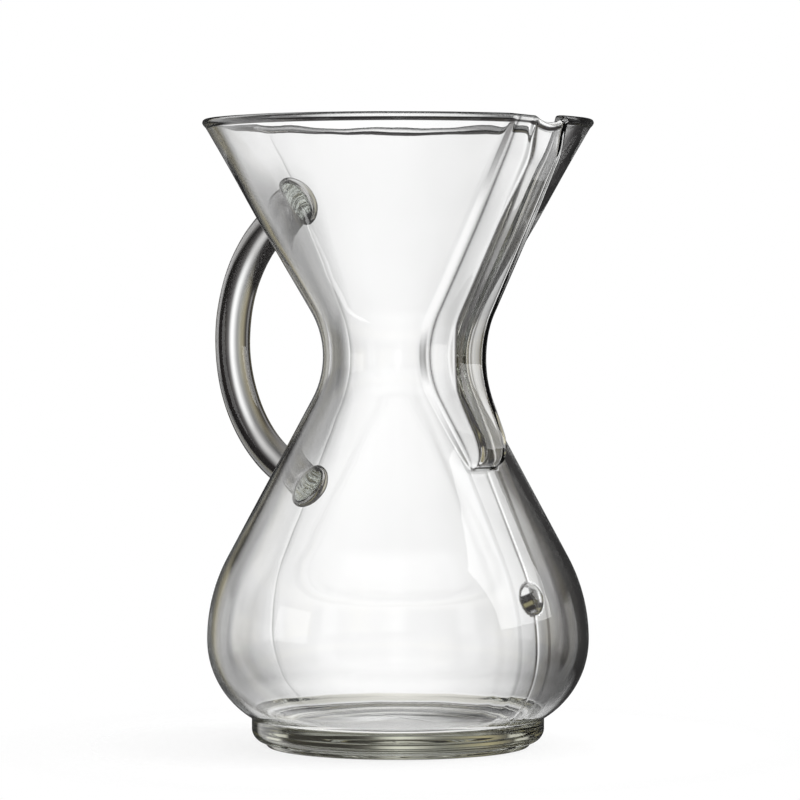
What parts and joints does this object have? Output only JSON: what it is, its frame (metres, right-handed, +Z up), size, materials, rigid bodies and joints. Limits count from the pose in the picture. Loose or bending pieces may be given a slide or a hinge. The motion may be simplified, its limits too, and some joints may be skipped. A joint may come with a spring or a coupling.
{
  "type": "pour-over coffee maker",
  "caption": "All-glass hourglass coffee maker: a filter funnel over a round flask, with a pouring channel through the waist and a fused glass rod handle.",
  "frame": {"origin": "centre of the flat ring that the vessel stands on, on the vessel's axis", "axes": "+Z up along the vessel's axis, +X towards the pouring channel, -X towards the handle"},
  "size_m": [0.1636, 0.135, 0.216],
  "materials": {
    "vessel_glass": "clear mould-blown borosilicate glass with a fire-polished rim",
    "handle_glass": "clear drawn borosilicate glass rod, bent and fused on"
  },
  "bodies": {
    "root": {"rim_bead": "vessel_glass", "funnel": "vessel_glass", "waist": "vessel_glass", "shoulder": "vessel_glass", "upper_bowl": "vessel_glass", "lower_bowl": "vessel_glass", "base": "vessel_glass", "pour_channel": "vessel_glass", "spout_lip": "vessel_glass", "level_button": "vessel_glass", "handle_bow": "handle_glass", "upper_handle_end": "handle_glass", "lower_handle_end": "handle_glass"}
  },
  "joints": []
}
